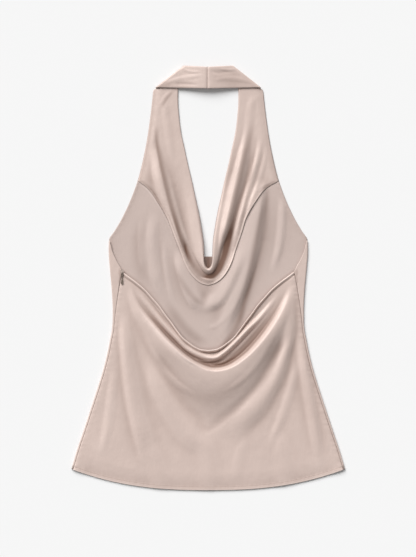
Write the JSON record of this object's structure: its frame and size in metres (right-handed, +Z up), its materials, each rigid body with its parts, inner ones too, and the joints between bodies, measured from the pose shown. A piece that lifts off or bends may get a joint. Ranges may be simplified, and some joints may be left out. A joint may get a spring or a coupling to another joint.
{
  "type": "halter neck top",
  "caption": "Satin halter neck top with a cowl neckline, a low cowl back, a flared hem and a side zip, laid flat face down.",
  "frame": {"origin": "on the surface that the top lies on, at the middle of its length and width", "axes": "+X to the right as the top lies face down, +Y from the hem to the neck, +Z up"},
  "size_m": [0.5206, 0.8069, 0.0225],
  "materials": {
    "satin": "smooth face of satin, soft sheen",
    "satin_reverse": "matt wrong side of satin",
    "zip_tape": "woven tape",
    "zip_metal": "taupe paint, satin gloss"
  },
  "bodies": {
    "top": {"front_panel": "satin_reverse", "front_facing": "satin", "back_panel": "satin", "neck_band_left": "satin", "neck_band_right": "satin", "zip_tape": "zip_tape", "zip_slider": "zip_metal"},
    "pull": {"zip_pull": "zip_metal"}
  },
  "joints": [
    {"name": "pull_hinge", "type": "hinge", "parent": "top", "child": "pull", "pos_m": [-0.1638, 0.0092, 0.0071], "axis": [-1, 0, 0], "range_deg": [0, 165]}
  ]
}
